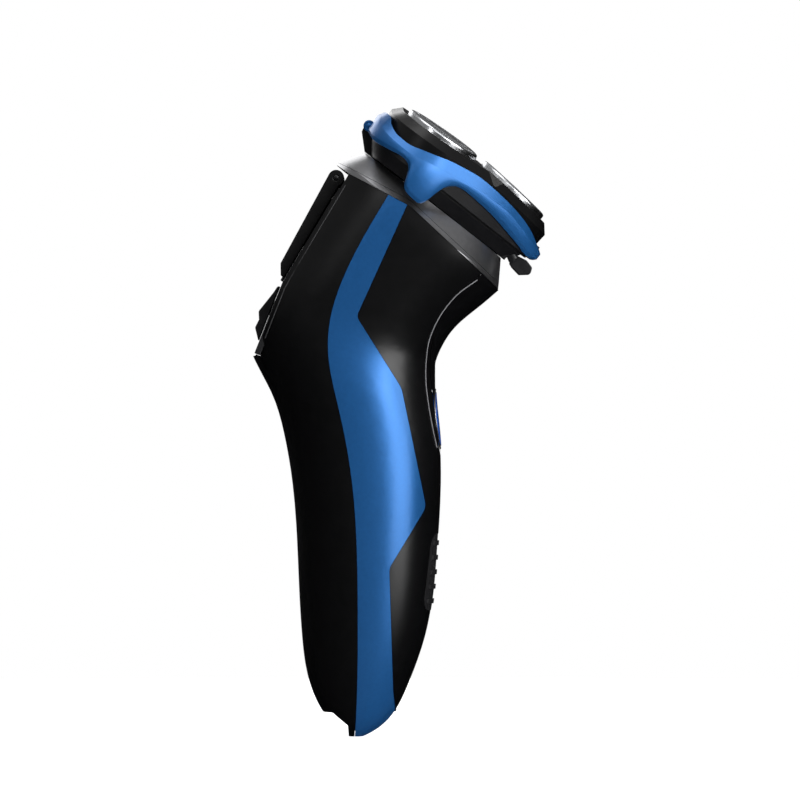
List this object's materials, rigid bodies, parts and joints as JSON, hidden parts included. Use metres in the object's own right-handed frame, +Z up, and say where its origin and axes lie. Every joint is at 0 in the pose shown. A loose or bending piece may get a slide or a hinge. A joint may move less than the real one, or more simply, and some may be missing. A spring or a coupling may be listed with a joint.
{
  "type": "rotary electric shaver",
  "caption": "Hand-held rotary electric shaver with a forward-leaning three-unit head, bent handle, side band, front button and pop-out rear trimmer.",
  "frame": {"origin": "on the ground plane under the middle of the part's bounding box, with the handle upright", "axes": "+Z up along the handle, +X towards the power button, +Y to the side, mirror plane at Y = 0"},
  "size_m": [0.0763, 0.0588, 0.1644],
  "materials": {
    "gloss_black": "gloss",
    "pearl_blue": "pearl",
    "satin_black": "satin",
    "gunmetal": "satin",
    "chrome": "polished",
    "blade_steel": "brushed",
    "button_blue": "gloss",
    "rubber_black": "ribbed",
    "clear_lens": "clear",
    "white_plastic": "satin",
    "board_green": "satin",
    "battery_wrap": "gloss",
    "gear_plastic": "satin",
    "contact_brass": "plain"
  },
  "bodies": {
    "handle": {"rear_housing": "gloss_black", "middle_band": "pearl_blue", "front_housing": "gloss_black", "front_panel": "gloss_black", "indicator_lens": "clear_lens", "front_grip": "rubber_black", "charging_socket": "satin_black", "charging_pins": "contact_brass", "trimmer_frame": "satin_black", "neck_cover": "gunmetal", "neck_trim_ring": "gunmetal", "spindle_seals": "rubber_black", "gear_plate": "white_plastic", "plate_screws": "blade_steel", "motor_can": "blade_steel", "motor_end_cap": "satin_black", "head_base": "satin_black", "battery": "battery_wrap", "battery_tabs": "contact_brass", "circuit_board": "board_green", "push_switch": "satin_black", "charge_led": "white_plastic", "control_chip": "satin_black"},
    "button": {"power_button": "button_blue"},
    "slide": {"trimmer_slide": "satin_black"},
    "trimmer": {"trimmer_cover": "gloss_black", "trimmer_pin": "blade_steel", "trimmer_comb": "blade_steel"},
    "trimmer_cutter": {"trimmer_blade": "blade_steel"},
    "tab": {"release_tab": "satin_black"},
    "rotor": {"motor_shaft": "blade_steel", "motor_pinion": "gear_plastic"},
    "head": {"head_frame": "pearl_blue", "head_pin": "blade_steel", "retaining_plate": "satin_black"},
    "drive_1": {"drive_gear_1": "gear_plastic", "drive_spindle_1": "blade_steel"},
    "unit_1": {"pan_1": "gloss_black"},
    "float_1": {"guard_1": "chrome"},
    "spin_1": {"cutter_1": "blade_steel"},
    "drive_2": {"drive_gear_2": "gear_plastic", "drive_spindle_2": "blade_steel"},
    "unit_2": {"pan_2": "gloss_black"},
    "float_2": {"guard_2": "chrome"},
    "spin_2": {"cutter_2": "blade_steel"},
    "drive_3": {"drive_gear_3": "gear_plastic", "drive_spindle_3": "blade_steel"},
    "unit_3": {"pan_3": "gloss_black"},
    "float_3": {"guard_3": "chrome"},
    "spin_3": {"cutter_3": "blade_steel"}
  },
  "joints": [
    {"name": "head_open", "type": "hinge", "parent": "handle", "child": "head", "pos_m": [-0.00765, 0, 0.15946], "axis": [0, -1, 0], "range_deg": [0, 100]},
    {"name": "release_press", "type": "slide", "parent": "handle", "child": "tab", "axis": [-0.7912, 0, 0.6115], "range_m": [0, 0.001], "stiffness_N_per_m": 1200},
    {"name": "button_press", "type": "slide", "parent": "handle", "child": "button", "axis": [-1, 0, 0], "range_m": [0, 0.0008], "stiffness_N_per_m": 1500},
    {"name": "trimmer_release", "type": "slide", "parent": "handle", "child": "slide", "axis": [-0.368, 0, -0.9298], "range_m": [0, 0.003], "stiffness_N_per_m": 500},
    {"name": "trimmer_open", "type": "hinge", "parent": "handle", "child": "trimmer", "pos_m": [-0.01624, 0, 0.14579], "axis": [0, 1, 0], "range_deg": [0, 90]},
    {"name": "trimmer_stroke", "type": "slide", "parent": "trimmer", "child": "trimmer_cutter", "axis": [0, 1, 0], "range_m": [-0.0008, 0.0008]},
    {"name": "motor_spin", "type": "hinge", "parent": "handle", "child": "rotor", "pos_m": [0.00352, 0, 0.13401], "axis": [0.6115, 0, 0.7912], "continuous": true},
    {"name": "drive_spin_1", "type": "hinge", "parent": "handle", "child": "drive_1", "pos_m": [0.01515, 0, 0.12502], "axis": [0.6115, 0, 0.7912], "continuous": true},
    {"name": "unit_tilt_1", "type": "hinge", "parent": "head", "child": "unit_1", "pos_m": [0.02624, 0, 0.13899], "axis": [0, 1, 0], "range_deg": [-3.5, 3.5], "stiffness_Nm_per_rad": 0.02},
    {"name": "guard_float_1", "type": "slide", "parent": "unit_1", "child": "float_1", "axis": [-0.682, 0, -0.7314], "range_m": [0, 0.0012], "stiffness_N_per_m": 400},
    {"name": "cutter_spin_1", "type": "hinge", "parent": "float_1", "child": "spin_1", "pos_m": [0.02842, 0, 0.14133], "axis": [0.682, 0, 0.7314], "continuous": true},
    {"name": "drive_spin_2", "type": "hinge", "parent": "handle", "child": "drive_2", "pos_m": [-0.00229, 0.01273, 0.1385], "axis": [0.6115, 0, 0.7912], "continuous": true},
    {"name": "unit_tilt_2", "type": "hinge", "parent": "head", "child": "unit_2", "pos_m": [0.00852, 0.01293, 0.15268], "axis": [-0.6852, -0.5, 0.5296], "range_deg": [-3.5, 3.5], "stiffness_Nm_per_rad": 0.02},
    {"name": "guard_float_2", "type": "slide", "parent": "unit_2", "child": "float_2", "axis": [-0.5724, -0.08, -0.8161], "range_m": [0, 0.0012], "stiffness_N_per_m": 400},
    {"name": "cutter_spin_2", "type": "hinge", "parent": "float_2", "child": "spin_2", "pos_m": [0.01035, 0.01318, 0.15529], "axis": [0.5724, 0.08, 0.8161], "continuous": true},
    {"name": "drive_spin_3", "type": "hinge", "parent": "handle", "child": "drive_3", "pos_m": [-0.00229, -0.01273, 0.1385], "axis": [0.6115, 0, 0.7912], "continuous": true},
    {"name": "unit_tilt_3", "type": "hinge", "parent": "head", "child": "unit_3", "pos_m": [0.00852, -0.01293, 0.15268], "axis": [0.6852, -0.5, -0.5296], "range_deg": [-3.5, 3.5], "stiffness_Nm_per_rad": 0.02},
    {"name": "guard_float_3", "type": "slide", "parent": "unit_3", "child": "float_3", "axis": [-0.5724, 0.08, -0.8161], "range_m": [0, 0.0012], "stiffness_N_per_m": 400},
    {"name": "cutter_spin_3", "type": "hinge", "parent": "float_3", "child": "spin_3", "pos_m": [0.01035, -0.01318, 0.15529], "axis": [0.5724, -0.08, 0.8161], "continuous": true}
  ],
  "couplings": [
    {"joint": "drive_spin_1", "follows": "motor_spin", "ratio": -1.0417},
    {"joint": "cutter_spin_1", "follows": "motor_spin", "ratio": -1.0417},
    {"joint": "drive_spin_2", "follows": "motor_spin", "ratio": -1.0417},
    {"joint": "cutter_spin_2", "follows": "motor_spin", "ratio": -1.0417},
    {"joint": "drive_spin_3", "follows": "motor_spin", "ratio": -1.0417},
    {"joint": "cutter_spin_3", "follows": "motor_spin", "ratio": -1.0417}
  ]
}
